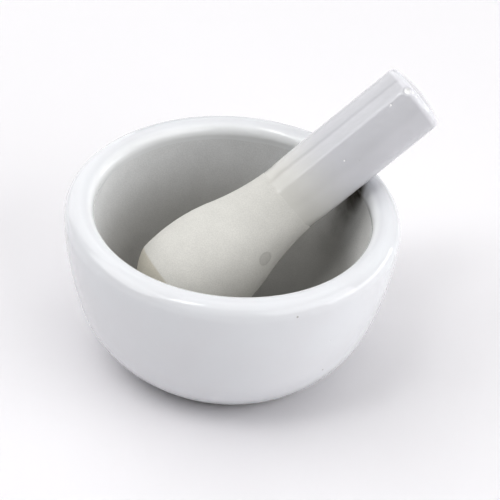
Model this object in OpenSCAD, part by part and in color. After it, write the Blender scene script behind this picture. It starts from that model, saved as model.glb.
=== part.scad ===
// Porcelain mortar and pestle for grinding small samples in the laboratory.
//
// The mortar and the pestle are two loose pieces. Each is one piece of fired
// porcelain with a glaze that stops at a visible line, so each is two nodes:
// the bare body, and the glaze fused to it.
//
// Millimetres, +Z up. The origin is the middle of the mortar's foot, on the bench.
// Every section is drawn as radius against height and turned round its own axis.

/* [Mortar] */
// Outside diameter at the rim, glaze included
rim_d = 100; // [96:1:106]
// Height from the bench to the top of the rim
mortar_h = 52; // [50:0.5:56]
// Thickness of the wall at the rim
rim_wall = 9; // [8.8:0.2:11]
// Radius of the outer edge of the rim
rim_round = 4.6; // [3:0.1:4.7]
// Radius of the inner edge of the rim
lip_round = 4; // [2:0.1:4.1]
// Depth of the bowl, from the top of the rim to the bare floor
bowl_depth = 45.4; // [44:0.2:46]
// Radius of the slow curve of the outside wall
wall_curve = 108; // [100:1:120]
// Radius of the quick curve that brings the wall in to the foot
belly_curve = 35.5; // [34:0.5:37]
// Angle below level at which the wall curve passes into the belly curve
belly_turn = 17; // [15:1:19]

/* [Foot] */
// Width of the ring that the mortar stands on
foot_ring_w = 5; // [3:0.5:7]
// Depth of the hollow inside the foot ring
foot_hollow = 1.4; // [0.8:0.2:2.4]

/* [Glaze] */
// Thickness of the glaze
glaze_t = 0.3; // [0.2:0.05:0.5]
// Distance from the top of the rim down to the edge of the glaze in the bowl
glaze_in_bowl = 5.2; // [4.2:0.2:6.2]
// Height of the edge of the glaze above the bench
glaze_above_foot = 1.4; // [1:0.2:3]
// Distance from the tip of the pestle to the edge of its glaze
glaze_from_tip = 53; // [48:1:60]

/* [Pestle] */
// Overall length
pestle_len = 104.4; // [100:0.2:112]
// Diameter of the straight handle, glaze included
handle_d = 21.8; // [20:0.2:23]
// Largest diameter of the bare head
head_d = 33.2; // [31:0.2:35]
// Distance from the tip to the start of the straight handle
neck_from_tip = 57.4; // [54:0.2:60]
// Distance from the tip to the widest part of the head
widest_from_tip = 18.2; // [16:0.2:20]
// Height of the domed grinding face, from the tip to its edge
grinding_h = 10.9; // [10:0.1:11.5]
// Radius of the hollow curve between the handle and the head
flare_curve = 75; // [66:1:84]
// Rise of the domed end of the handle
end_rise = 1.7; // [1.2:0.1:2.4]
// Radius of the edge of that end
end_round = 1.8; // [1.2:0.1:2.2]

/* [Pestle at rest] */
// Compass direction of the handle, in degrees from +X towards +Y
lean_direction = 26.6; // [0:0.2:360]
// Angle of the pestle above level
lean = 36; // [34:0.5:40]
// Distance by which the pestle's axis misses the bowl's axis
lean_offset = 2.5; // [0:0.1:4]
// Gap left where the pestle leans on the rim and on the bowl
rest_gap = 0.05; // [0.02:0.01:0.1]

/* [Hidden] */

porcelain_colour = [0.90, 0.89, 0.86];
glaze_colour = [0.95, 0.96, 0.98];

// Sides in a full circle of the preview; the solids themselves are true curves
$fn = 180;
// Longer than any section, for shapes that only cut
beyond = 400;

// Mortar: centres of the arcs of its section, as [radius, height]
wall_centre = [rim_d / 2 - wall_curve, mortar_h];
belly_centre = wall_centre + (wall_curve - belly_curve) * ray(-belly_turn);
rim_centre = [wall_centre.x + sqrt(pow(wall_curve - rim_round, 2) - pow(rim_round, 2)), mortar_h - rim_round];
rim_angle = -asin(rim_round / (wall_curve - rim_round));
mouth_r = rim_d / 2 - rim_wall;
lip_centre = [mouth_r + lip_round, mortar_h - lip_round];
bowl_r = mouth_r + glaze_t;
bowl_centre = [0, mortar_h - bowl_depth + bowl_r];
foot_r = belly_centre.x + sqrt(pow(belly_curve - glaze_t, 2) - pow(belly_centre.y, 2));
// Deep enough to lie between the outside wall and the bowl
mid_wall = 2;

// Pestle: heights are measured along its axis, from the centre of its domed grinding face
handle_r = handle_d / 2;
flare_run = neck_from_tip - widest_from_tip;
flare_rise = head_d / 2 + glaze_t - handle_r;
// Two arcs that touch, the hollow flare and the full barrel, have centres this far apart
flare_span = (pow(flare_run, 2) + pow(flare_rise, 2)) / (2 * flare_rise);
barrel_curve = flare_span - flare_curve;
edge_drop = widest_from_tip - grinding_h;
edge_r = head_d / 2 - arc_fall(barrel_curve - glaze_t, edge_drop);
dome_r = (pow(edge_r, 2) + pow(grinding_h, 2)) / (2 * grinding_h);
flare_centre = [handle_r + flare_curve, neck_from_tip - dome_r];
barrel_centre = [head_d / 2 + glaze_t - barrel_curve, widest_from_tip - dome_r];
join_z = flare_centre.y - flare_run * flare_curve / flare_span;
edge_z = grinding_h - dome_r;
end_z = pestle_len - dome_r;
end_curve = (pow(handle_r, 2) + pow(end_rise, 2)) / (2 * end_rise);
end_centre = [0, end_z - end_curve];
end_edge_x = handle_r - end_round;
end_edge = [end_edge_x, end_centre.y + sqrt(pow(end_curve - end_round, 2) - pow(end_edge_x, 2))];

// Where the pestle rests: its handle touches the lip and its grinding face touches the bowl.
// Both contacts are solved in the upright plane through the pestle's axis.
axis_up = ray(lean);
axis_side = ray(lean + 90);
lip_in_plane = [sqrt(pow(lip_centre.x, 2) - pow(lean_offset, 2)), lip_centre.y];
axis_at_lip = lip_in_plane + (handle_r + lip_round + rest_gap) * axis_side;
from_bowl = axis_at_lip - bowl_centre;
dome_reach = sqrt(pow(bowl_r - dome_r - rest_gap, 2) - pow(lean_offset, 2));
along = from_bowl * axis_up;
slide_down = along + sqrt(pow(along, 2) - (from_bowl * from_bowl - pow(dome_reach, 2)));
dome_place = axis_at_lip - slide_down * axis_up;

// Unit vector at an angle above level
function ray(angle) = [cos(angle), sin(angle)];

// How far an arc falls away from its crest at a distance along it
function arc_fall(r, distance) = r - sqrt(pow(r, 2) - pow(distance, 2));

// Part of a disc between two angles
module sector(centre, r, from, to) {
    intersection() {
        translate(centre) circle(r);
        polygon([centre, centre + beyond * ray(from), centre + beyond * ray(to)]);
    }
}

// Everything within the outside of the mortar, at a depth below the glazed surface
module outside_area(depth) {
    intersection() {
        union() {
            translate(belly_centre) circle(belly_curve - depth);
            sector(wall_centre, wall_curve - depth, -belly_turn, rim_angle);
            translate(rim_centre) circle(rim_round - depth);
            translate([0, belly_centre.y]) square([rim_centre.x, mortar_h - depth - belly_centre.y]);
        }
        square([rim_d, mortar_h]);
    }
}

// The hollow of the bowl, at a depth below the glazed surface of the lip
module bowl_area(depth) {
    intersection() {
        union() {
            translate(bowl_centre) circle(mouth_r + depth);
            translate(bowl_centre) square([mouth_r + depth, bowl_depth]);
            difference() {
                translate([0, lip_centre.y]) square([lip_centre.x, mortar_h]);
                translate(lip_centre) circle(lip_round - depth);
            }
        }
        square([rim_d, 2 * mortar_h]);
    }
}

// Section of the mortar's wall, at a depth below the glazed surface
module mortar_area(depth) {
    difference() {
        outside_area(depth);
        bowl_area(depth);
    }
}

// Where the mortar is glazed: the outside down to the foot, and the lip
module mortar_glaze_zone() {
    translate([0, mortar_h - glaze_in_bowl]) square([rim_d, mortar_h]);
    difference() {
        translate([0, glaze_above_foot]) square([rim_d, mortar_h]);
        outside_area(mid_wall);
    }
}

module foot_hollow_area() {
    inner_r = foot_r - foot_ring_w;
    polygon([[0, -foot_hollow], [0, foot_hollow], [inner_r - foot_hollow, foot_hollow],
        [inner_r + foot_hollow, -foot_hollow]]);
}

// Section of the pestle, at a depth below the glazed surface
module pestle_area(depth) {
    intersection() {
        union() {
            spine_area();
            handle_area(depth);
            flare_area(depth);
            barrel_area(depth);
            dome_area();
        }
        translate([0, -beyond]) square([beyond, 2 * beyond]);
    }
}

// A core along the axis that joins the handle, the flare, the barrel and the dome
module spine_area() {
    translate([0, -dome_r / 2]) square([handle_r / 2, end_edge.y + dome_r / 2]);
}

module handle_area(depth) {
    r = handle_r - depth;
    translate([0, flare_centre.y]) square([r, end_edge.y - flare_centre.y]);
    translate([0, flare_centre.y]) square([end_edge.x, end_edge.y - flare_centre.y]);
    translate(end_edge) circle(end_round - depth);
    sector(end_centre, end_curve - depth, atan2(end_edge.y - end_centre.y, end_edge.x), 90);
}

module flare_area(depth) {
    difference() {
        translate([0, join_z]) square([head_d / 2, flare_centre.y - join_z]);
        translate(flare_centre) circle(flare_curve + depth);
    }
}

module barrel_area(depth) {
    intersection() {
        translate(barrel_centre) circle(barrel_curve - depth);
        translate([0, edge_z]) square([head_d, join_z - edge_z]);
    }
}

module dome_area() {
    intersection() {
        circle(dome_r);
        translate([0, -dome_r]) square([head_d, grinding_h]);
    }
}

// Puts the pestle, drawn upright on its own axis, where it rests in the bowl
module rest_in_bowl() {
    rotate([0, 0, lean_direction])
        translate([dome_place.x, lean_offset, dome_place.y])
            rotate([0, 90 - lean, 0])
                children();
}

module mortar_body() {
    color(porcelain_colour)
        rotate_extrude()
            difference() {
                mortar_area(glaze_t);
                foot_hollow_area();
            }
}

module mortar_glaze() {
    color(glaze_colour)
        rotate_extrude()
            intersection() {
                difference() {
                    mortar_area(0);
                    mortar_area(glaze_t);
                }
                mortar_glaze_zone();
            }
}

module pestle_body() {
    color(porcelain_colour)
        rest_in_bowl()
            rotate_extrude()
                pestle_area(glaze_t);
}

module pestle_glaze() {
    color(glaze_colour)
        rest_in_bowl()
            rotate_extrude()
                intersection() {
                    difference() {
                        pestle_area(0);
                        pestle_area(glaze_t);
                    }
                    translate([0, glaze_from_tip - dome_r]) square([beyond, beyond]);
                }
}

mortar_body();
mortar_glaze();
pestle_body();
pestle_glaze();
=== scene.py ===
"""Looks of a porcelain mortar and pestle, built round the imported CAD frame. Metres, +Z up.

Both pieces are turned shapes. Each surface is an outline of radius against height, carried
round an axis as rings of points. Bare porcelain and the glaze on it are separate closed skins.
"""

import math

import bmesh
import bpy
import numpy as np
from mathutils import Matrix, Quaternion, Vector


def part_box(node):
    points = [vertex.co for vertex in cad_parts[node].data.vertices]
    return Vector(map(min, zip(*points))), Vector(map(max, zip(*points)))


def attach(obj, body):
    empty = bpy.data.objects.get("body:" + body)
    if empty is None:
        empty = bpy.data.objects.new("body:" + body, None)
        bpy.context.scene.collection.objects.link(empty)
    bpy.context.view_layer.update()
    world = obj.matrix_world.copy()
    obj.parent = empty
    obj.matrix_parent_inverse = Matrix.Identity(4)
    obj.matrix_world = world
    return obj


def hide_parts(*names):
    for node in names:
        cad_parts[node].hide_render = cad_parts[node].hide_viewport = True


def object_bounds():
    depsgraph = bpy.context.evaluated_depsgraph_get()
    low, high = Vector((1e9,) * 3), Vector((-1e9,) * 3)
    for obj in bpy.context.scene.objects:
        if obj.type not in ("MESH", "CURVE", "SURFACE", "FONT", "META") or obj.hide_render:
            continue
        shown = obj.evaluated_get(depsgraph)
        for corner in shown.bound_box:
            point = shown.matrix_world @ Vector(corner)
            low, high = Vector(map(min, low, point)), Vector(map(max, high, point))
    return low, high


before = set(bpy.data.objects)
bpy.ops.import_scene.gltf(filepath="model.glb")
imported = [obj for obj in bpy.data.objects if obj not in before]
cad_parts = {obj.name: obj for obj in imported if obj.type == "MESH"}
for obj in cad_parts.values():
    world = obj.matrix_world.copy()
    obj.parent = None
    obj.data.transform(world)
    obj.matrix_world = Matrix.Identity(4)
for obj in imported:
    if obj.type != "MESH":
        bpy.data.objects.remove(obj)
cad_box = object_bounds()

MM = 0.001
# Points round each ring
SIDES = 384
# Spacing of the points that draw an outline
FINE = 0.04 * MM
# Rings of points along each bare solid, and how strongly a bend draws rings together
SOLID_RINGS = 240
RING_PULL = 2.5 * MM
# How far the inner face of a glaze lies inside the porcelain that it is fused to
SUNK = 0.06 * MM
# Every random draw comes from here, in the order of the script
rng = np.random.default_rng(11)


# ---------------------------------------------------------------- measuring the frame

def corners(node):
    """A CAD node's corner points, one row each."""
    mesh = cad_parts[node].data
    points = np.empty(3 * len(mesh.vertices))
    mesh.vertices.foreach_get("co", points)
    return points.reshape(-1, 3)


def centre_of_volume(node):
    """The middle of a closed CAD node, from the tetrahedra between its triangles and the origin."""
    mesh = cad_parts[node].data
    mesh.calc_loop_triangles()
    triangles = np.empty(3 * len(mesh.loop_triangles), np.int32)
    mesh.loop_triangles.foreach_get("vertices", triangles)
    a, b, c = corners(node)[triangles].reshape(-1, 3, 3).transpose(1, 0, 2)
    volumes = np.einsum("ij,ij->i", a, np.cross(b, c))
    return ((a + b + c) * volumes[:, None]).sum(0) / (4 * volumes.sum())


class Axis:
    """The line that a piece is turned about, with the side of it that turn 0 faces."""

    def __init__(self, origin, direction, facing):
        self.origin = np.array(origin)
        self.along = np.array(direction) / np.linalg.norm(direction)
        sideways = np.cross(self.along, facing)
        self.across = sideways / np.linalg.norm(sideways)
        self.facing = np.cross(self.across, self.along)

    def place(self, turn, radius, height):
        """Points at an angle round the axis in radians, a distance off it and a height along it."""
        faced = (np.cos(turn) * radius)[..., None] * self.facing
        crossed = (np.sin(turn) * radius)[..., None] * self.across
        return self.origin + faced + crossed + np.asarray(height)[..., None] * self.along

    def radius_and_height(self, points):
        """The reverse of place, without the angle."""
        away = points - self.origin
        height = away @ self.along
        radius = np.linalg.norm(away - height[:, None] * self.along, axis=1)
        return radius, height


# ---------------------------------------------------------------- outlines

def arc(centre, radius, start, end):
    """Points on an arc between two angles in degrees, as radius and height."""
    count = 2 + int(abs(math.radians(end - start)) * radius / FINE)
    angles = np.radians(np.linspace(start, end, count))
    return np.column_stack([centre[0] + radius * np.cos(angles), centre[1] + radius * np.sin(angles)])


def angle_at(centre, radius, height):
    """Angle in degrees at which an arc's outer side passes through a height."""
    return math.degrees(math.asin((height - centre[1]) / radius))


class Outline:
    """An edge drawn as radius against height, with its corners worn round and its normals."""

    def __init__(self, stretches, wear):
        drawn = np.concatenate([np.atleast_2d(stretch) for stretch in stretches])
        gaps = np.linalg.norm(np.diff(drawn, axis=0), axis=1)
        drawn_at = np.concatenate([[0], np.cumsum(gaps)])
        self.at = np.linspace(0, drawn_at[-1], 1 + round(drawn_at[-1] / FINE))
        evened = np.column_stack([np.interp(self.at, drawn_at, column) for column in drawn.T])
        self.points = self.worn(evened, round(wear / FINE))
        tangents = np.gradient(self.points, axis=0)
        tangents /= np.linalg.norm(tangents, axis=1)[:, None]
        self.normals = np.column_stack([tangents[:, 1], -tangents[:, 0]])

    @staticmethod
    def worn(points, reach):
        """Each point becomes the average of those within reach of it; the two ends stay."""
        before = 2 * points[0] - points[reach:0:-1]
        after = 2 * points[-1] - points[-2:-reach - 2:-1]
        padded = np.concatenate([before, points, after])
        sums = np.cumsum(np.concatenate([[[0, 0]], padded]), axis=0)
        width = 2 * reach + 1
        return (sums[width:] - sums[:-width]) / width

    def shares(self, start, end, count):
        """Rings from 0 at start to 1 at end, closer together where the outline turns."""
        within = (self.at >= start) & (self.at <= end)
        at = self.at[within]
        headings = np.unwrap(np.arctan2(self.normals[within, 1], self.normals[within, 0]))
        crowding = np.cumsum(1 + RING_PULL * np.abs(np.gradient(headings, at)))
        crowding = (crowding - crowding[0]) / (crowding[-1] - crowding[0])
        places = np.interp(np.linspace(0, 1, count), crowding, at)
        return (places - at[0]) / (at[-1] - at[0])

    def lift(self, places, thickness):
        """Radius and height at places along the outline, lifted off it by a thickness."""
        radius, height, out, up = [
            np.interp(places, self.at, column) for column in (*self.points.T, *self.normals.T)
        ]
        return radius + out * thickness, height + up * thickness

    def place_where(self, matches):
        """Place of the first point that matches."""
        return self.at[np.argmax(matches)]


# ---------------------------------------------------------------- meshes

turns = np.linspace(0, 2 * np.pi, SIDES, endpoint=False)
# Faces that meet at more than this many degrees, as at a glaze's edge, are shaded apart
SHARP_ANGLE = 50
# How many waves are laid on one another to make the hollows in a glaze
RIPPLE_WAVES = 7


def waves(counts, size):
    """A line that wanders by about size as it goes round, summed from waves of these counts."""
    phases = rng.uniform(0, 2 * np.pi, len(counts))
    heights = rng.uniform(0.5, 1, len(counts)) / np.sqrt(counts)
    line = sum(h * np.cos(n * turns + p) for n, h, p in zip(counts, heights, phases))
    return size * line / np.abs(line).max()


def ripples(places, length, deepest):
    """Hollows from 0 to deepest, wandering over a skin both round it and along it."""
    total = np.zeros_like(places)
    for count in range(1, RIPPLE_WAVES + 1):
        phase_round, phase_along = rng.uniform(0, 2 * np.pi, 2)
        stretch = rng.uniform(0.6, 1.4) * 2 * np.pi * places / length
        total += np.cos(count * turns + phase_round) * np.cos(stretch + phase_along) / count
    total -= total.min()
    return deepest * total / total.max()


def eased(share):
    """Goes smoothly from 0 to 1 as share does, level at both ends."""
    share = np.clip(share, 0, 1)
    return share * share * (3 - 2 * share)


def turned_mesh(name, points, poles):
    """A closed mesh from rings of points. With poles, the first and the last ring are each one
    point; without, the last ring joins the first."""
    rings, sides, _ = points.shape
    index = np.arange(rings * sides).reshape(rings, sides)
    if poles:
        index[0] = index[0, 0]
        index[-1] = index[-1, 0]
        lower, upper = index[:-1], index[1:]
    else:
        lower, upper = index, np.roll(index, -1, 0)
    quads = np.stack([lower, np.roll(lower, -1, 1), np.roll(upper, -1, 1), upper], -1)
    faces = [tuple(dict.fromkeys(quad)) for quad in quads.reshape(-1, 4).tolist()]
    mesh = bpy.data.meshes.new(name)
    mesh.from_pydata(points.reshape(-1, 3).tolist(), [], faces)
    tidied = bmesh.new()
    tidied.from_mesh(mesh)
    bmesh.ops.delete(tidied, geom=[v for v in tidied.verts if not v.link_faces], context="VERTS")
    bmesh.ops.recalc_face_normals(tidied, faces=tidied.faces)
    tidied.to_mesh(mesh)
    tidied.free()
    mesh.polygons.foreach_set("use_smooth", [True] * len(mesh.polygons))
    mesh.set_sharp_from_angle(angle=math.radians(SHARP_ANGLE))
    piece = bpy.data.objects.new(name, mesh)
    bpy.context.scene.collection.objects.link(piece)
    return piece


def solid_points(axis, outline):
    """Rings of a bare solid, from the start of its outline to the end, both on the axis."""
    length = outline.at[-1]
    places = np.repeat(outline.shares(0, length, SOLID_RINGS)[:, None] * length, SIDES, 1)
    radius, height = outline.lift(places, 0)
    return axis.place(turns, radius, height)


def dent(points, centre, reach, depth, towards):
    """Pushes points within reach of a centre towards a direction, deepest at the centre."""
    away = np.linalg.norm(points - centre, axis=-1) / reach
    return points + (depth * eased(1 - away))[..., None] * np.asarray(towards)


# ---------------------------------------------------------------- mortar

# Radii of the arcs of the mortar's section, which the frame's boxes don't give
RIM_ROUND = 4.6 * MM
LIP_ROUND = 4 * MM
WALL_CURVE = 108 * MM
BELLY_CURVE = 35.5 * MM
# Angle below level at which the wall's arc passes into the belly's
BELLY_TURN = 17
# How far the fired edges have worn round
EDGE_WEAR = 0.3 * MM
# Distances over which the glaze thins out to its edges, at the foot and in the bowl
FOOT_GLAZE_FEATHER = 0.9 * MM
BOWL_GLAZE_FEATHER = 4.5 * MM
# How far the edge of the mortar's glaze wanders, and how deep its hollows are
MORTAR_GLAZE_WANDER = 0.35 * MM
MORTAR_GLAZE_HOLLOWS = 0.07 * MM
# Rings on the outside of the mortar's glaze, and how many of them pass for each one inside
MORTAR_GLAZE_RINGS = 200
MORTAR_INNER_STEP = 8

# Dark residue run down the bowl from where the pestle rests, with painted shadow under the handle,
# as overlapping patches: compass direction in degrees, height, spread and strength
RESIDUE_AND_HANDLE_SHADOW = [
    (26, 48 * MM, 4.2 * MM, 1.0),
    (29, 44.5 * MM, 6 * MM, 0.95),
    (32, 39.5 * MM, 7 * MM, 0.6),
    (33, 34 * MM, 7 * MM, 0.3),
    (32, 28 * MM, 8 * MM, 0.2),
]
# Painted light on the bowl's inner wall that faces the left lamps: compass direction in degrees,
# height, radius and softness
PAINTED_LIGHT_SIDE = (4, 43 * MM, 5 * MM, 15 * MM)
# Iron specks in the outside of the mortar's glaze: compass direction in degrees, height and
# distance off the axis
MORTAR_SPECKS = [
    (-66, 48.2 * MM, 49.8 * MM),
    (-49, 20.1 * MM, 45.2 * MM),
]

mortar_axis = Axis((0, 0, 0), (0, 0, 1), (1, 0, 0))
mortar_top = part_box("mortar_glaze")[1].z
mortar_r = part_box("mortar_glaze")[1].x
glaze_t = mortar_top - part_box("mortar_body")[1].z
glaze_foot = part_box("mortar_glaze")[0].z
body_r, body_z = mortar_axis.radius_and_height(corners("mortar_body"))
glaze_r, glaze_z = mortar_axis.radius_and_height(corners("mortar_glaze"))
in_upper_half = glaze_z > mortar_top / 2
mouth_r = glaze_r[in_upper_half].min()
bowl_r = mouth_r + glaze_t
foot_inner_r = body_r[body_z < 0.01 * MM].min()
hollow_z = body_z[body_r < foot_inner_r - 0.1 * MM].min()
floor_z = body_z[body_r < 0.5 * foot_inner_r].min()
glaze_in_bowl_z = glaze_z[in_upper_half & (glaze_r < mouth_r + 2 * glaze_t)].min()


def mortar_outline():
    """The bare mortar's outline, from the middle of the underside to the middle of the bowl."""
    rim_centre = (mortar_r - RIM_ROUND, mortar_top - RIM_ROUND)
    wall_reach = math.sqrt((WALL_CURVE - RIM_ROUND) ** 2 - RIM_ROUND ** 2)
    wall_centre = (rim_centre[0] - wall_reach, mortar_top)
    rim_start = -math.degrees(math.asin(RIM_ROUND / (WALL_CURVE - RIM_ROUND)))
    turn = math.radians(BELLY_TURN)
    belly_centre = (wall_centre[0] + (WALL_CURVE - BELLY_CURVE) * math.cos(turn),
                    wall_centre[1] - (WALL_CURVE - BELLY_CURVE) * math.sin(turn))
    belly_r = BELLY_CURVE - glaze_t
    lip_centre = (mouth_r + LIP_ROUND, mortar_top - LIP_ROUND)
    bowl_centre = (0, floor_z + bowl_r)
    return Outline([
        (0, hollow_z),
        (foot_inner_r - hollow_z, hollow_z),
        (foot_inner_r, 0),
        arc(belly_centre, belly_r, angle_at(belly_centre, belly_r, 0), -BELLY_TURN),
        arc(wall_centre, WALL_CURVE - glaze_t, -BELLY_TURN, rim_start),
        arc(rim_centre, RIM_ROUND - glaze_t, rim_start, 90),
        arc(lip_centre, LIP_ROUND - glaze_t, 90, 180),
        arc(bowl_centre, bowl_r, 0, -90),
    ], EDGE_WEAR)


def mortar_places(outline):
    """Places along the outline of the two edges of the mortar's glaze."""
    radius, height = outline.points.T
    top = outline.at[np.argmax(height)]
    from_foot = outline.place_where((radius > foot_inner_r) & (height > glaze_foot))
    to_bowl = outline.place_where((outline.at > top) & (height < glaze_in_bowl_z))
    return from_foot, to_bowl


def bowl_spot(azimuth, height):
    """A point on the wall of the bowl, from its compass direction in degrees and its height."""
    below = max(floor_z + bowl_r - height, 0)
    return mortar_axis.place(math.radians(azimuth), math.sqrt(bowl_r ** 2 - below ** 2), height)


def mortar_porcelain(outline):
    """The fired body: matt in the bowl and under the foot, hidden by glaze elsewhere."""
    return turned_mesh("mortar_porcelain", solid_points(mortar_axis, outline), poles=True)


def mortar_glaze(outline):
    """The glaze from the foot over the rim to just inside the bowl, as one closed ring."""
    from_foot, to_bowl = mortar_places(outline)
    starts = from_foot + waves([2, 3, 5, 8, 13, 21], MORTAR_GLAZE_WANDER)
    ends = to_bowl + waves([2, 3, 5, 9, 14, 23], MORTAR_GLAZE_WANDER)
    share = outline.shares(from_foot, to_bowl, MORTAR_GLAZE_RINGS)[:, None]
    places = starts + share * (ends - starts)
    edges = eased((places - starts) / FOOT_GLAZE_FEATHER) * eased((ends - places) / BOWL_GLAZE_FEATHER)
    hollows = ripples(places, to_bowl - from_foot, MORTAR_GLAZE_HOLLOWS)
    outer = outline.lift(places, (glaze_t - hollows) * edges)
    inner = outline.lift(places[-2:0:-MORTAR_INNER_STEP], -SUNK)
    radius, height = [np.concatenate(pair) for pair in zip(outer, inner)]
    points = mortar_axis.place(turns, radius, height)
    return turned_mesh("mortar_glaze_coat", points, poles=False)


# ---------------------------------------------------------------- pestle

# Distances from the tip of the pestle, along its axis
NECK_FROM_TIP = 57.4 * MM
WIDEST_FROM_TIP = 18.2 * MM
GRINDING_H = 10.9 * MM
# Radius of the hollow curve between the handle and the head
FLARE_CURVE = 75 * MM
# Rise of the domed end of the handle, and radius of its edge
END_RISE = 1.7 * MM
END_ROUND = 1.8 * MM
# How far the edge of the pestle's glaze wanders, how deep its hollows are, the distance over
# which it thins out, and the distance over which it takes on its own colour
PESTLE_GLAZE_WANDER = 0.5 * MM
PESTLE_GLAZE_HOLLOWS = 0.05 * MM
PESTLE_GLAZE_FEATHER = 7 * MM
GLAZE_TINT_RUN = 22 * MM
# Rings on the outside of the pestle's glaze, and how many of them pass for each one inside
PESTLE_GLAZE_RINGS = 205
PESTLE_INNER_STEP = 9

# A grey mark on the bare head: angle round it from the upper side in degrees, distance from the
# tip and distance from the axis; then its radius and the softness of its edge
HEAD_MARK = (91.5, 37.6 * MM, 13.2 * MM)
MARK_R = 2.2 * MM
MARK_EDGE = 0.7 * MM
# Chips and burst bubbles in the handle's glaze: angle round it from the upper side in degrees,
# distance from the tip, reach and depth
HANDLE_CHIPS = [
    (31, 101.4 * MM, 1.6 * MM, 0.8 * MM),
    (38, 102.8 * MM, 1.5 * MM, 0.7 * MM),
    (47, 102.6 * MM, 1.0 * MM, 0.4 * MM),
    (32, 94.9 * MM, 0.5 * MM, 0.2 * MM),
    (54, 74.0 * MM, 0.4 * MM, 0.15 * MM),
]

body_middle = centre_of_volume("pestle_body")
handle_middle = centre_of_volume("pestle_glaze")
pestle_up = Axis(body_middle, handle_middle - body_middle, (0, 0, 1))
head_r, head_z = pestle_up.radius_and_height(corners("pestle_body"))
coat_r, coat_z = pestle_up.radius_and_height(corners("pestle_glaze"))
tip = body_middle + head_z.min() * pestle_up.along
pestle_axis = Axis(tip, pestle_up.along, (0, 0, 1))
pestle_len = coat_z.max() - head_z.min()
widest_r = head_r.max()
handle_r = coat_r[coat_z > coat_z.max() - 0.5 * (pestle_len - NECK_FROM_TIP)].max()
glaze_from_tip = coat_z.min() - head_z.min()


def pestle_outline():
    """The bare pestle's outline, from the tip of its grinding face to the end of its handle."""
    run = NECK_FROM_TIP - WIDEST_FROM_TIP
    rise = widest_r + glaze_t - handle_r
    # Two arcs that touch, the hollow flare and the full barrel, have centres this far apart
    span = (run ** 2 + rise ** 2) / (2 * rise)
    barrel_r = span - FLARE_CURVE - glaze_t
    barrel_centre = (widest_r - barrel_r, WIDEST_FROM_TIP)
    flare_centre = (handle_r + FLARE_CURVE, NECK_FROM_TIP)
    join = math.degrees(math.asin(run / span))
    edge_start = angle_at(barrel_centre, barrel_r, GRINDING_H)
    edge_r = barrel_centre[0] + barrel_r * math.cos(math.radians(edge_start))
    dome_r = (edge_r ** 2 + GRINDING_H ** 2) / (2 * GRINDING_H)
    end_curve = (handle_r ** 2 + END_RISE ** 2) / (2 * END_RISE)
    end_centre = (0, pestle_len - end_curve)
    edge_x = handle_r - END_ROUND
    edge_z = end_centre[1] + math.sqrt((end_curve - END_ROUND) ** 2 - edge_x ** 2)
    end_turn = math.degrees(math.atan2(edge_z - end_centre[1], edge_x))
    return Outline([
        arc((0, dome_r), dome_r, -90, angle_at((0, dome_r), dome_r, GRINDING_H)),
        arc(barrel_centre, barrel_r, edge_start, join),
        arc(flare_centre, FLARE_CURVE + glaze_t, 180 + join, 180),
        arc((edge_x, edge_z), END_ROUND - glaze_t, 0, end_turn),
        arc(end_centre, end_curve - glaze_t, end_turn, 90),
    ], EDGE_WEAR)


def pestle_spot(turn, from_tip, radius):
    """A point from an angle round the pestle in degrees, a distance from its tip and a radius."""
    return pestle_axis.place(math.radians(turn), radius, from_tip)


def chipped_away(points):
    """Points of a skin of the pestle, pushed in where the handle is chipped."""
    for turn, from_tip, reach, depth in HANDLE_CHIPS:
        centre = pestle_spot(turn, from_tip, handle_r)
        points = dent(points, centre, reach, depth, pestle_spot(turn, 0, -1) - tip)
    return points


def pestle_porcelain(outline):
    """The fired body: the flared head that grinds, and the core of the handle."""
    points = chipped_away(solid_points(pestle_axis, outline))
    return turned_mesh("pestle_porcelain", points, poles=True)


def pestle_glaze(outline):
    """The glaze on the handle, from its wandering edge to the end, as one closed cap."""
    edge = outline.place_where(outline.points[:, 1] > glaze_from_tip)
    end = outline.at[-1]
    starts = edge + waves([1, 2, 3, 5, 9, 14], PESTLE_GLAZE_WANDER)
    share = outline.shares(edge, end, PESTLE_GLAZE_RINGS)[::-1, None]
    places = starts + share * (end - starts)
    hollows = ripples(places, end - edge, PESTLE_GLAZE_HOLLOWS)
    outer = outline.lift(places, (glaze_t - hollows) * eased((places - starts) / PESTLE_GLAZE_FEATHER))
    inner = outline.lift(places[-2::-PESTLE_INNER_STEP], -SUNK)
    radius, height = [np.concatenate(pair) for pair in zip(outer, inner)]
    radius[0] = radius[-1] = 0
    points = chipped_away(pestle_axis.place(turns, radius, height))
    return turned_mesh("pestle_glaze_coat", points, poles=True)


# ---------------------------------------------------------------- materials

def colour(red, green, blue):
    """A solid colour in the form that Blender's sockets take."""
    return red, green, blue, 1.0


# Bare porcelain: in the bowl low down and high up, painted light on one side of the bowl,
# on the pestle's head and on the face that grinds
BOWL_LOWER = colour(0.465, 0.46, 0.445)
BOWL_UPPER = colour(0.84, 0.845, 0.85)
BOWL_PAINTED_LIGHT = colour(0.95, 0.95, 0.94)
HEAD_BARE = colour(0.70, 0.692, 0.662)
HEAD_GROUND = colour(0.65, 0.625, 0.56)
# Glaze: the two tints that cloud the mortar's, painted light on the inner lip, on the handle,
# and a painted highlight at the handle's end
GLAZE_PALE = colour(0.80, 0.805, 0.825)
GLAZE_BLUE = colour(0.78, 0.79, 0.81)
GLAZE_LIP_LIGHT = colour(0.93, 0.94, 0.95)
GLAZE_HANDLE = colour(0.65, 0.65, 0.675)
GLAZE_END_HIGHLIGHT = colour(0.82, 0.82, 0.85)
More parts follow.
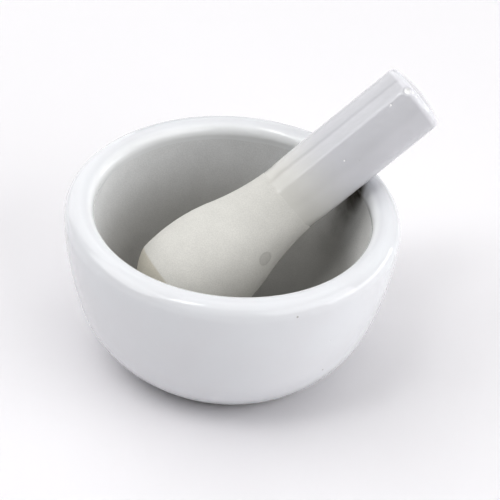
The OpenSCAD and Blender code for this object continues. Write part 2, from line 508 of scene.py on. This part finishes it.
# Marks: inside a chip, small iron specks, the mortar's large specks, dried residue with painted
# shadow under the handle, and the round mark on the head with its rim
CHIP = colour(0.9, 0.9, 0.9)
IRON = colour(0.30, 0.25, 0.19)
LARGE_SPECK = colour(0.35, 0.33, 0.3)
DRIED_AND_SHADE = colour(0.035, 0.022, 0.004)
MARK = colour(0.40, 0.39, 0.37)
MARK_RIM = colour(0.25, 0.24, 0.22)
FLOOR_PAPER = colour(0.845, 0.835, 0.85)
WHITE = colour(1, 1, 1)
REFRACTIVE_INDEX = 1.5


class Finish:
    """A material's node tree, with short calls for the nodes that the finishes share."""

    def __init__(self, name):
        self.material = bpy.data.materials.new(name)
        self.material.use_nodes = True
        self.tree = self.material.node_tree
        self.surface = self.tree.nodes["Principled BSDF"]
        self.position = self.add("ShaderNodeTexCoord").outputs["Object"]

    def add(self, kind, inputs=None, **settings):
        """A new node, with its settings made and its inputs set or linked."""
        node = self.tree.nodes.new(kind)
        for name, value in settings.items():
            setattr(node, name, value)
        for name, value in (inputs or {}).items():
            self.feed(node.inputs[name], value)
        return node

    def feed(self, socket, value):
        """Links a node's input to another node's output, or sets it to a value."""
        if isinstance(value, bpy.types.NodeSocket):
            self.tree.links.new(value, socket)
        else:
            socket.default_value = value

    def noise(self, size, detail=2.0):
        """Cloudy noise from 0 to 1 whose blobs are about size across."""
        inputs = {"Vector": self.position, "Scale": 1 / size, "Detail": detail}
        return self.add("ShaderNodeTexNoise", inputs).outputs["Fac"]

    def spread(self, value, low, high, start=0.0, end=1.0):
        """Goes smoothly from start to end as value goes from low to high."""
        inputs = {"Value": value, "From Min": low, "From Max": high, "To Min": start, "To Max": end}
        return self.add("ShaderNodeMapRange", inputs, interpolation_type="SMOOTHSTEP").outputs["Result"]

    def maths(self, operation, a, b):
        """One sum, named as Blender's Math node names it."""
        return self.add("ShaderNodeMath", {0: a, 1: b}, operation=operation).outputs[0]

    def vectors(self, operation, a, b, output="Vector"):
        """One sum with vectors, named as Blender's Vector Math node names it."""
        return self.add("ShaderNodeVectorMath", {0: a, 1: b}, operation=operation).outputs[output]

    def blend(self, share, first, second):
        """Colour that goes from first to second with share."""
        node = self.add("ShaderNodeMix", data_type="RGBA")
        # A Mix node repeats its input names for each type of data, so numbers choose the colours
        self.feed(node.inputs[0], share)
        self.feed(node.inputs[6], first)
        self.feed(node.inputs[7], second)
        return node.outputs[2]

    def off(self, axis):
        """Distance of the position from an axis."""
        across = self.vectors("CROSS_PRODUCT", self.offset(axis), tuple(axis.along))
        return self.vectors("DISTANCE", across, (0, 0, 0), "Value")

    def along(self, axis):
        """Distance of the position along an axis, from the axis's origin."""
        return self.vectors("DOT_PRODUCT", self.offset(axis), tuple(axis.along), "Value")

    def offset(self, axis):
        """The position, measured from an axis's origin."""
        return self.vectors("SUBTRACT", self.position, tuple(axis.origin))

    def shaded(self, base, shade):
        """A colour made lighter or darker by a shade, 1 leaving it as it is."""
        return self.add("ShaderNodeHueSaturation", {"Value": shade, "Color": base}).outputs["Color"]

    def specks(self, spacing, size, kept):
        """Rare round specks: 1 inside each, in the share of the cells that is kept."""
        cells = self.add("ShaderNodeTexVoronoi", {"Vector": self.position, "Scale": 1 / spacing})
        inside = self.spread(cells.outputs["Distance"], 0.5 * size / spacing, size / spacing, 1.0, 0.0)
        channels = self.add("ShaderNodeSeparateColor", {"Color": cells.outputs["Color"]})
        chosen = self.maths("LESS_THAN", channels.outputs[0], kept)
        return self.maths("MULTIPLY", inside, chosen)

    def near(self, centre, radius, softness, strength=1.0):
        """Strength within radius of a point, falling to 0 over softness."""
        gap = self.vectors("DISTANCE", self.position, tuple(centre), "Value")
        return self.spread(gap, radius, radius + softness, strength, 0.0)

    def bumps(self, *layers):
        """Relief from pairs of a height from 0 to 1 and its depth in metres, laid on one another."""
        normal = None
        for height, depth in layers:
            inputs = {"Height": height, "Distance": depth}
            if normal is not None:
                inputs["Normal"] = normal
            normal = self.add("ShaderNodeBump", inputs).outputs["Normal"]
        self.feed(self.surface.inputs["Normal"], normal)

    def set(self, **inputs):
        """Feeds the surface shader; underscores stand for the spaces in its input names."""
        for name, value in inputs.items():
            self.feed(self.surface.inputs[name.replace("_", " ")], value)


def glazed(finish, base, pinholes):
    """Makes a finish clear glaze over a base colour: glossy, with clouds, pinholes and iron specks."""
    clouds = finish.spread(finish.noise(14 * MM, 3), 0.35, 0.65, 0.985, 1.015)
    specks = finish.maths("MULTIPLY", finish.specks(9 * MM, 0.22 * MM, 0.1), 0.7)
    holes = finish.specks(5 * MM, 0.25 * MM, pinholes)
    base = finish.blend(specks, finish.shaded(base, clouds), IRON)
    smears = finish.spread(finish.noise(9 * MM, 4), 0.3, 0.7, 0.02, 0.06)
    finish.set(Base_Color=base, Roughness=smears, IOR=REFRACTIVE_INDEX)
    finish.bumps(
        (finish.noise(11 * MM, 1), 0.02 * MM),
        (finish.noise(2.2 * MM, 2), 0.0025 * MM),
        (holes, -0.06 * MM),
    )
    return finish


def bisque(finish, base, grain_depth):
    """Makes a finish bare fired porcelain of a base colour: matt, clouded and finely grained."""
    clouds = finish.spread(finish.noise(7 * MM, 4), 0.3, 0.7, 0.98, 1.02)
    grain = finish.noise(0.35 * MM, 3)
    base = finish.shaded(base, clouds)
    base = finish.shaded(base, finish.spread(grain, 0.25, 0.75, 0.95, 1.05))
    rough = finish.spread(finish.noise(1.2 * MM, 2), 0.3, 0.7, 0.72, 0.88)
    finish.set(Base_Color=base, Roughness=rough, IOR=REFRACTIVE_INDEX)
    finish.bumps(
        (finish.noise(1.6 * MM, 2), 0.02 * MM),
        (grain, grain_depth),
    )
    return finish


def chipped(finish):
    """Bares white, rough porcelain inside the chips of the handle's glaze."""
    for turn, from_tip, reach, _ in HANDLE_CHIPS:
        place = pestle_spot(turn, from_tip, handle_r)
        bare = finish.near(place, 0.55 * reach, 0.2 * reach)
        gloss = finish.surface.inputs["Roughness"].links[0].from_socket
        base = finish.surface.inputs["Base Color"].links[0].from_socket
        rough = finish.maths("MAXIMUM", gloss, finish.maths("MULTIPLY", bare, 0.6))
        finish.set(Base_Color=finish.blend(bare, base, CHIP), Roughness=rough)
    return finish


def residue_and_handle_shadow(finish, base):
    """Dark dried stain from grinding and painted shadow under the handle, laid on a base colour in the
    bowl below where the pestle rests.
    """
    blotches = finish.spread(finish.noise(3 * MM, 4), 0.35, 0.65, 0.8, 1.0)
    # Each patch is partly dried residue and partly painted shadow cast under the handle
    for azimuth, height, spread, strength in RESIDUE_AND_HANDLE_SHADOW:
        stained_and_shaded = finish.near(bowl_spot(azimuth, height), 0.8 * MM, spread, strength)
        base = finish.blend(finish.maths("MULTIPLY", stained_and_shaded, blotches), base, DRIED_AND_SHADE)
    return base


def mortar_porcelain_finish():
    """Bare porcelain, pale just below the glaze and darker grey towards the bowl's floor."""
    finish = Finish("mortar_bisque")
    upper_share = finish.spread(finish.along(mortar_axis), 0.45 * glaze_in_bowl_z, 1.03 * glaze_in_bowl_z)
    base = finish.blend(upper_share, BOWL_LOWER, BOWL_UPPER)
    # Painted light on the inner wall that faces the left lamps
    azimuth, height, radius, softness = PAINTED_LIGHT_SIDE
    painted_light = finish.near(bowl_spot(azimuth, height), radius, softness, 0.8)
    base = finish.blend(painted_light, base, BOWL_PAINTED_LIGHT)
    return bisque(finish, residue_and_handle_shadow(finish, base), 0.03 * MM)


def pestle_porcelain_finish():
    """Bare porcelain, warmer on the grinding face, with a grey fired-in mark on the head."""
    finish = Finish("pestle_bisque")
    from_tip = finish.along(pestle_axis)
    ground = finish.spread(from_tip, GRINDING_H - 0.3 * MM, GRINDING_H + 0.3 * MM, 1.0, 0.0)
    base = finish.blend(ground, HEAD_BARE, HEAD_GROUND)
    place = pestle_spot(*HEAD_MARK)
    mark = finish.near(place, MARK_R - MARK_EDGE / 2, MARK_EDGE)
    rim = finish.maths("SUBTRACT", mark, finish.near(place, MARK_R - MARK_EDGE, MARK_EDGE))
    base = finish.blend(finish.maths("MULTIPLY", mark, 0.28), base, MARK)
    base = finish.blend(finish.maths("MULTIPLY", rim, 0.12), base, MARK_RIM)
    return bisque(finish, base, 0.02 * MM)


def mortar_glaze_finish():
    """Faintly blue glaze, made whiter on the inner side of the lip by painted light."""
    finish = Finish("mortar_glaze")
    clouds = finish.spread(finish.noise(14 * MM, 3), 0.35, 0.65)
    base = finish.blend(clouds, GLAZE_PALE, GLAZE_BLUE)
    # Painted light: the inner side of the lip is made whiter than the rest of the glaze
    inside = finish.spread(finish.off(mortar_axis), mouth_r + 1 * MM, mouth_r + 3 * MM, 1.0, 0.0)
    above = finish.spread(finish.along(mortar_axis), 0.6 * mortar_top, 0.7 * mortar_top)
    base = finish.blend(finish.maths("MULTIPLY", inside, above), base, GLAZE_LIP_LIGHT)
    for azimuth, height, radius in MORTAR_SPECKS:
        place = mortar_axis.place(math.radians(azimuth), radius, height)
        base = finish.blend(finish.near(place, 0.15 * MM, 0.3 * MM, 0.6), base, LARGE_SPECK)
    return glazed(finish, residue_and_handle_shadow(finish, base), 0.1)


def pestle_glaze_finish():
    """Glaze that takes the bare head's colour where it thins out, is greyer up the handle, and has a
    painted highlight round the edge of the handle's end."""
    finish = Finish("pestle_glaze")
    from_tip = finish.along(pestle_axis)
    thick = finish.spread(from_tip, glaze_from_tip, glaze_from_tip + GLAZE_TINT_RUN)
    base = finish.blend(thick, HEAD_BARE, GLAZE_HANDLE)
    # Painted highlight round the edge of the handle's end
    edge_z = pestle_len - END_RISE - END_ROUND
    edge_r = handle_r - END_ROUND
    highlight_band = finish.spread(from_tip, edge_z - 0.6 * MM, edge_z + 0.6 * MM)
    outer = finish.spread(finish.off(pestle_axis), edge_r - 0.4 * MM, edge_r + 0.4 * MM, 0.0, 0.9)
    base = finish.blend(finish.maths("MULTIPLY", highlight_band, outer), base, GLAZE_END_HIGHLIGHT)
    return chipped(glazed(finish, base, 0.16))


# ---------------------------------------------------------------- stage, light and camera

object_middle = (cad_box[0] + cad_box[1]) / 2

# Half the floor's width in metres
FLOOR_REACH = 6

# Soft lamps: degrees round from +X, degrees above level, distance, width, height and strength
LAMPS = {
    "lamp_left": (-170, 43, 2.0, 1.7, 1.4, 2.1),
    "lamp_right": (-32, 31, 2.0, 2.2, 1.35, 1.85),
    "lamp_right_low": (5, 9, 2.0, 2.4, 0.6, 2.6),
    "lamp_back_left": (122, 27, 2.2, 1.7, 2.2, 1.15),
    "lamp_back_right": (62, 25, 2.2, 2.4, 2.0, 0.4),
    "lamp_ceiling": (90, 88, 2.2, 2.6, 2.6, 1.0),
    "lamp_key": (-133, 66, 2.0, 0.36, 0.64, 4.5),
}

# The camera: distance from the middle of the foot, degrees above level, then the pan to the
# right, the tilt up and the roll that it adds to looking straight at that point
VIEW_DISTANCE = 0.7
VIEW_ELEVATION = 39.61
VIEW_PAN = 0.62
VIEW_TILT = 2.33
VIEW_ROLL = 4.99
SENSOR = 36
LENS = 163.1
# Below 1, this deepens shades as the photographer's camera did
FILM_GAMMA = 0.74


def floor():
    """A pale plain floor, wide enough to reach the horizon in every view."""
    mesh = bpy.data.meshes.new("floor")
    signs = [(-1, -1), (1, -1), (1, 1), (-1, 1)]
    mesh.from_pydata([(FLOOR_REACH * x, FLOOR_REACH * y, 0) for x, y in signs], [], [(0, 1, 2, 3)])
    plane = bpy.data.objects.new("floor", mesh)
    bpy.context.scene.collection.objects.link(plane)
    finish = Finish("floor_paper")
    finish.set(Base_Color=FLOOR_PAPER, Roughness=0.9)
    mesh.materials.append(finish.material)


def direction(azimuth, elevation):
    """Unit vector from degrees round from +X and degrees above level."""
    around = math.radians(azimuth)
    above = math.radians(elevation)
    level = math.cos(above)
    return Vector((level * math.cos(around), level * math.sin(around), math.sin(above)))


def softbox(name, azimuth, elevation, distance, width, height, strength):
    """A rectangular lamp that faces the object. Strength is its brightness, 1 being white paper's."""
    lamp = bpy.data.lights.new(name, "AREA")
    lamp.shape = "RECTANGLE"
    lamp.size = width
    lamp.size_y = height
    lamp.energy = strength * math.pi * width * height
    towards = direction(azimuth, elevation)
    box = bpy.data.objects.new(name, lamp)
    box.location = object_middle + distance * towards
    box.rotation_mode = "QUATERNION"
    box.rotation_quaternion = towards.to_track_quat("Z", "Y")
    box.visible_camera = False
    bpy.context.scene.collection.objects.link(box)


def room(lit, seen):
    """The room round the stage: how bright its light is, and how bright it looks to the camera."""
    world = bpy.data.worlds.new("room")
    world.use_nodes = True
    tree = world.node_tree
    background = tree.nodes["Background"]
    paths = tree.nodes.new("ShaderNodeLightPath")
    strength = tree.nodes.new("ShaderNodeMapRange")
    strength.inputs["To Min"].default_value = lit
    strength.inputs["To Max"].default_value = seen
    tree.links.new(paths.outputs["Is Camera Ray"], strength.inputs["Value"])
    tree.links.new(strength.outputs["Result"], background.inputs["Strength"])
    background.inputs["Color"].default_value = WHITE
    bpy.context.scene.world = world


def camera():
    """The photographer's view: from -Y, about 40 degrees down, through a long lens."""
    lens = bpy.data.cameras.new("camera")
    lens.sensor_width = SENSOR
    lens.lens = LENS
    eye = bpy.data.objects.new("camera", lens)
    eye.location = VIEW_DISTANCE * direction(-90, VIEW_ELEVATION)
    look = direction(90 - VIEW_PAN, VIEW_TILT - VIEW_ELEVATION)
    level = look.to_track_quat("-Z", "Y")
    eye.rotation_mode = "QUATERNION"
    eye.rotation_quaternion = level @ Quaternion((0, 0, 1), math.radians(VIEW_ROLL))
    bpy.context.scene.collection.objects.link(eye)
    bpy.context.scene.camera = eye


# ---------------------------------------------------------------- the object

def finish_piece(piece, finish, body, node):
    """Gives a piece its material, ties it to its CAD body, and hides the CAD node that it stands for.
    """
    piece.data.materials.append(finish.material)
    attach(piece, body)
    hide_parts(node)


mortar_section = mortar_outline()
solid = mortar_porcelain(mortar_section)
finish_piece(solid, mortar_porcelain_finish(), "mortar", "mortar_body")
coat = mortar_glaze(mortar_section)
finish_piece(coat, mortar_glaze_finish(), "mortar", "mortar_glaze")

pestle_section = pestle_outline()
solid = pestle_porcelain(pestle_section)
finish_piece(solid, pestle_porcelain_finish(), "pestle", "pestle_body")
coat = pestle_glaze(pestle_section)
finish_piece(coat, pestle_glaze_finish(), "pestle", "pestle_glaze")

floor()
for name, lamp in LAMPS.items():
    softbox(name, *lamp)
room(lit=0.22, seen=1.0)
camera()

view = bpy.context.scene.view_settings
view.view_transform = "Standard"
view.gamma = FILM_GAMMA
